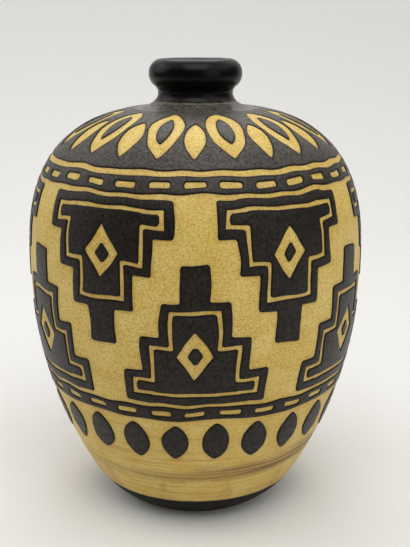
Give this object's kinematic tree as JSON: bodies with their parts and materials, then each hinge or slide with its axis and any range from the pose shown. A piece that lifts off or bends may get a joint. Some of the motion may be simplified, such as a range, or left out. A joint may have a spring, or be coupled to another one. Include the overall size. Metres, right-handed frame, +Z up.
{
  "type": "vase",
  "caption": "Barrel-shaped stoneware vase with a narrow collar and rolled lip, yellow glaze and raised dark enamel bands; stands on a turned foot and holds water and cut stems.",
  "frame": {"origin": "centre of the resting ring, on the surface that the vase stands on", "axes": "+Z up along the vase's axis, +X through the middle of a stepped pendant"},
  "size_m": [0.2016, 0.2016, 0.27],
  "materials": {
    "stoneware": "fired stoneware, matt",
    "foot_wash": "dark wash on turned stoneware, matt",
    "liner_glaze": "plain liner glaze, satin",
    "yellow_glaze": "speckled yellow glaze, satin",
    "black_glaze": "black glaze, soft gloss",
    "dark_enamel": "raised blackish brown enamel, satin matt"
  },
  "bodies": {
    "root": {"foot": "foot_wash", "body_wall": "stoneware", "neck_collar": "stoneware", "inner_glaze": "liner_glaze", "ground_glaze": "yellow_glaze", "collar_glaze": "black_glaze", "shoulder_field": "dark_enamel", "upper_belt": "dark_enamel", "step_pendants": "dark_enamel", "step_risers": "dark_enamel", "lower_belt": "dark_enamel", "leaf_drops": "dark_enamel"}
  },
  "joints": []
}
